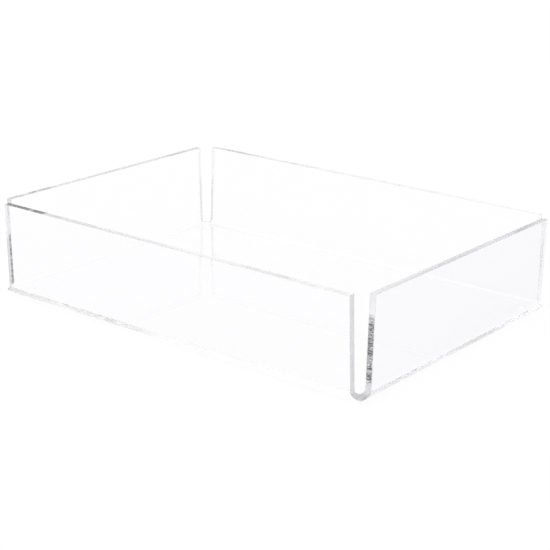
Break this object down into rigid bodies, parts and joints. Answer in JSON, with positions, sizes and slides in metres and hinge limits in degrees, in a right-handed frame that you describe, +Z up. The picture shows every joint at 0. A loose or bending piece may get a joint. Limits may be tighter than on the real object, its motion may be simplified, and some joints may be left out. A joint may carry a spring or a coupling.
{
  "type": "letter tray",
  "caption": "Clear acrylic desk tray for letter paper: a flat base with upright walls bent up from it, open round-bottomed slots at the corners, and small clear bumper feet.",
  "frame": {"origin": "under the middle of the tray, level with the bottom of its feet", "axes": "+X along the long side, +Y along the short side, +Z up out of the open top"},
  "size_m": [0.3334, 0.2318, 0.072],
  "materials": {
    "clear_acrylic": "clear, polished faces and lightly polished saw-cut edges",
    "clear_bumper": "clear soft polyurethane, glossy dome"
  },
  "bodies": {
    "root": {"tray_sheet": "clear_acrylic", "bumper_front_left": "clear_bumper", "bumper_front_right": "clear_bumper", "bumper_back_left": "clear_bumper", "bumper_back_right": "clear_bumper"}
  },
  "joints": []
}
